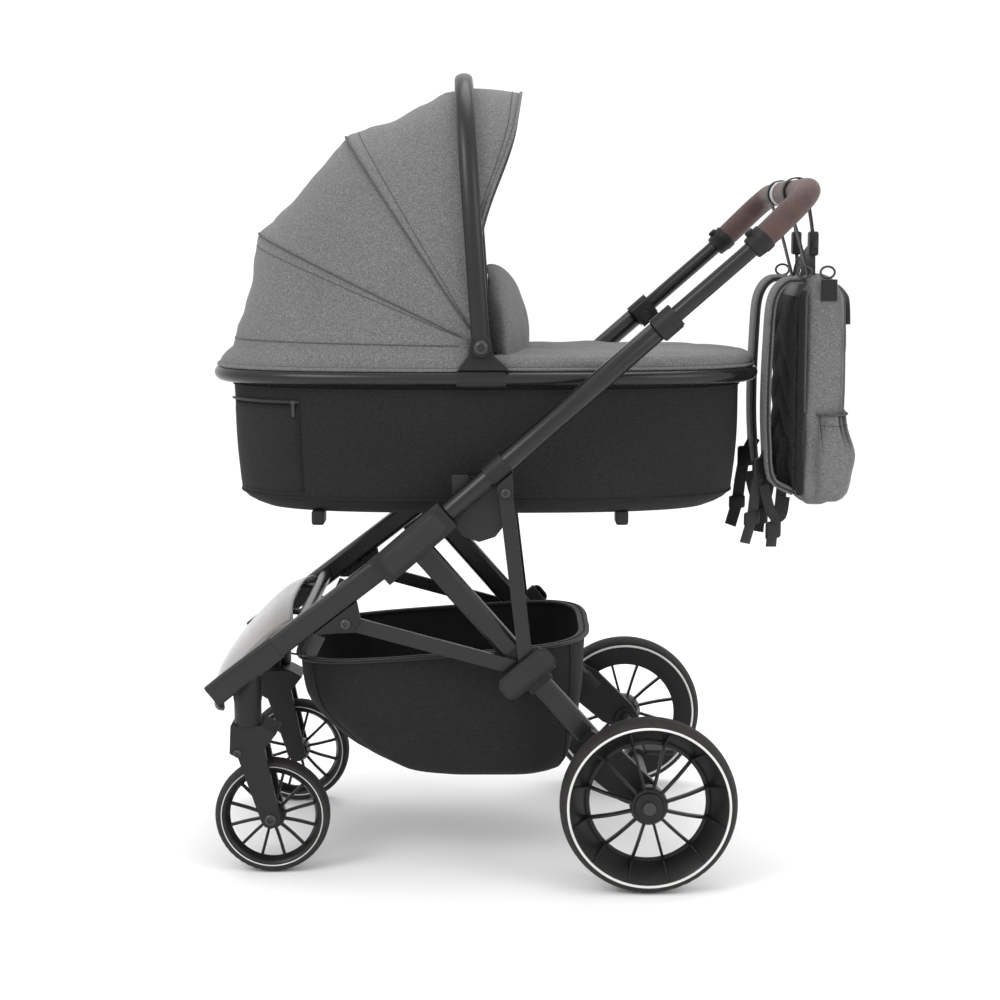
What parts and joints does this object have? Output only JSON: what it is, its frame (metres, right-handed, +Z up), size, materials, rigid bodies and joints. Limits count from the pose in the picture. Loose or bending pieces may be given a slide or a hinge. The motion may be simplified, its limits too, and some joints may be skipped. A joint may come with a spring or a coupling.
{
  "type": "baby stroller",
  "caption": "Folding pram chassis with a lift-off carrycot, folding hood, sliding handle, swivelling front wheels and a changing bag on the handlebar.",
  "frame": {"origin": "on the floor, at the middle of the whole object's box", "axes": "+Z up, front at -X, handle at +X, left side at -Y"},
  "size_m": [0.9772, 0.632, 1.1801],
  "materials": {
    "frame": "satin black powder coat",
    "plastic": "fine matt texture",
    "wheel": "semi-matt black with a thin white ring",
    "tyre": "foam-filled rubber with a fine tread",
    "leather": "dark brown grained leather, stitched",
    "black_cloth": "black plain-weave polyester",
    "grey_cloth": "grey melange woven cloth",
    "trim": "glossy light grey"
  },
  "bodies": {
    "front_frame": {"front_leg_left": "frame", "front_leg_right": "frame", "link_bracket_left": "plastic", "link_bracket_right": "plastic", "caster_housing_left": "plastic", "caster_housing_right": "plastic", "footboard": "trim", "basket": "black_cloth"},
    "handle_frame": {"upper_hinge_cover_left": "plastic", "upper_hinge_cover_right": "plastic", "handle_tube_left": "frame", "handle_tube_right": "frame", "height_clip_left": "plastic", "height_clip_right": "plastic", "strut_bracket_left": "plastic", "strut_bracket_right": "plastic", "cot_adapter_left": "plastic", "cot_adapter_right": "plastic"},
    "rear_frame": {"rear_leg_left": "frame", "rear_leg_right": "frame", "rear_casting_left": "plastic", "rear_casting_right": "plastic", "rear_axle": "frame"},
    "side_links": {"side_link_left": "frame", "side_link_right": "frame"},
    "struts": {"strut_left": "frame", "strut_right": "frame"},
    "sliders": {"lower_hinge_cover_left": "plastic", "lower_hinge_cover_right": "plastic"},
    "brake": {"brake_pedal": "plastic"},
    "handlebar": {"handlebar": "frame", "grip": "leather"},
    "bag": {"bag_body": "grey_cloth", "bag_strap_left": "grey_cloth", "bag_strap_right": "grey_cloth", "bag_hanger_left": "black_cloth", "bag_hanger_right": "black_cloth"},
    "cot": {"cot_shell": "black_cloth", "cot_rim": "frame", "mattress": "grey_cloth", "hood_rear": "grey_cloth", "hood_hub_left": "plastic", "hood_hub_right": "plastic", "apron": "grey_cloth"},
    "hood_middle": {"hood_mid": "grey_cloth"},
    "hood_bow": {"hood_front": "grey_cloth", "carry_handle": "frame"},
    "caster_left": {"fork_left": "plastic"},
    "front_wheel_left": {"front_rim_left": "wheel", "front_tyre_left": "tyre"},
    "rear_wheel_left": {"rear_rim_left": "wheel", "rear_tyre_left": "tyre"},
    "caster_right": {"fork_right": "plastic"},
    "front_wheel_right": {"front_rim_right": "wheel", "front_tyre_right": "tyre"},
    "rear_wheel_right": {"rear_rim_right": "wheel", "rear_tyre_right": "tyre"}
  },
  "joints": [
    {"name": "frame_fold", "type": "hinge", "parent": "front_frame", "child": "handle_frame", "pos_m": [-0.16844, 0, 0.503], "axis": [0, -1, 0], "range_deg": [0, 32], "deforming": ["basket"]},
    {"name": "rear_fold", "type": "hinge", "parent": "front_frame", "child": "rear_frame", "pos_m": [-0.16844, 0, 0.503], "axis": [0, -1, 0], "range_deg": [0, 16.43]},
    {"name": "side_link_turn", "type": "hinge", "parent": "front_frame", "child": "side_links", "pos_m": [-0.26544, 0, 0.386], "axis": [0, -1, 0], "range_deg": [0, 16.88]},
    {"name": "strut_turn", "type": "hinge", "parent": "handle_frame", "child": "struts", "pos_m": [-0.03444, 0, 0.577], "axis": [0, -1, 0], "range_deg": [-17.05, 0]},
    {"name": "cover_slide", "type": "slide", "parent": "rear_frame", "child": "sliders", "axis": [-0.6592, 0, 0.752], "range_m": [0, 0.0446]},
    {"name": "handle_height", "type": "slide", "parent": "handle_frame", "child": "handlebar", "axis": [0.7536, 0, 0.6574], "range_m": [-0.105, 0]},
    {"name": "bag_swing", "type": "hinge", "parent": "handlebar", "child": "bag", "pos_m": [0.39756, 0, 1.006], "axis": [0, -1, 0], "range_deg": [0, 26.5]},
    {"name": "cot_lift", "type": "slide", "parent": "handle_frame", "child": "cot", "axis": [0, 0, 1], "range_m": [0, 0.25]},
    {"name": "hood_fold", "type": "hinge", "parent": "cot", "child": "hood_bow", "pos_m": [-0.06944, 0, 0.783], "axis": [0, -1, 0], "range_deg": [0, 54]},
    {"name": "hood_middle_fold", "type": "hinge", "parent": "cot", "child": "hood_middle", "pos_m": [-0.06944, 0, 0.783], "axis": [0, -1, 0], "range_deg": [0, 27.5]},
    {"name": "brake_press", "type": "hinge", "parent": "rear_frame", "child": "brake", "pos_m": [0.17156, 0, 0.129], "axis": [0, 1, 0], "range_deg": [0, 18]},
    {"name": "caster_swivel_left", "type": "hinge", "parent": "front_frame", "child": "caster_left", "pos_m": [-0.41644, -0.19, 0.2285], "axis": [0, 0, 1], "continuous": true},
    {"name": "front_wheel_spin_left", "type": "hinge", "parent": "caster_left", "child": "front_wheel_left", "pos_m": [-0.38144, -0.19, 0.086], "axis": [0, 1, 0], "continuous": true},
    {"name": "rear_wheel_spin_left", "type": "hinge", "parent": "rear_frame", "child": "rear_wheel_left", "pos_m": [0.17156, -0.29, 0.129], "axis": [0, 1, 0], "continuous": true},
    {"name": "caster_swivel_right", "type": "hinge", "parent": "front_frame", "child": "caster_right", "pos_m": [-0.41644, 0.19, 0.2285], "axis": [0, 0, 1], "continuous": true},
    {"name": "front_wheel_spin_right", "type": "hinge", "parent": "caster_right", "child": "front_wheel_right", "pos_m": [-0.38144, 0.19, 0.086], "axis": [0, 1, 0], "continuous": true},
    {"name": "rear_wheel_spin_right", "type": "hinge", "parent": "rear_frame", "child": "rear_wheel_right", "pos_m": [0.17156, 0.29, 0.129], "axis": [0, 1, 0], "continuous": true}
  ],
  "couplings": [
    {"joint": "rear_fold", "follows": "frame_fold", "ratio": 0.5073},
    {"joint": "side_link_turn", "follows": "frame_fold", "ratio": 0.5214},
    {"joint": "strut_turn", "follows": "frame_fold", "ratio": -0.5266},
    {"joint": "cover_slide", "follows": "frame_fold", "m_per_rad": 0.079},
    {"joint": "hood_middle_fold", "follows": "hood_fold", "ratio": 0.5},
    {"joint": "bag_swing", "follows": "handle_height", "rad_per_m": -4.35}
  ]
}
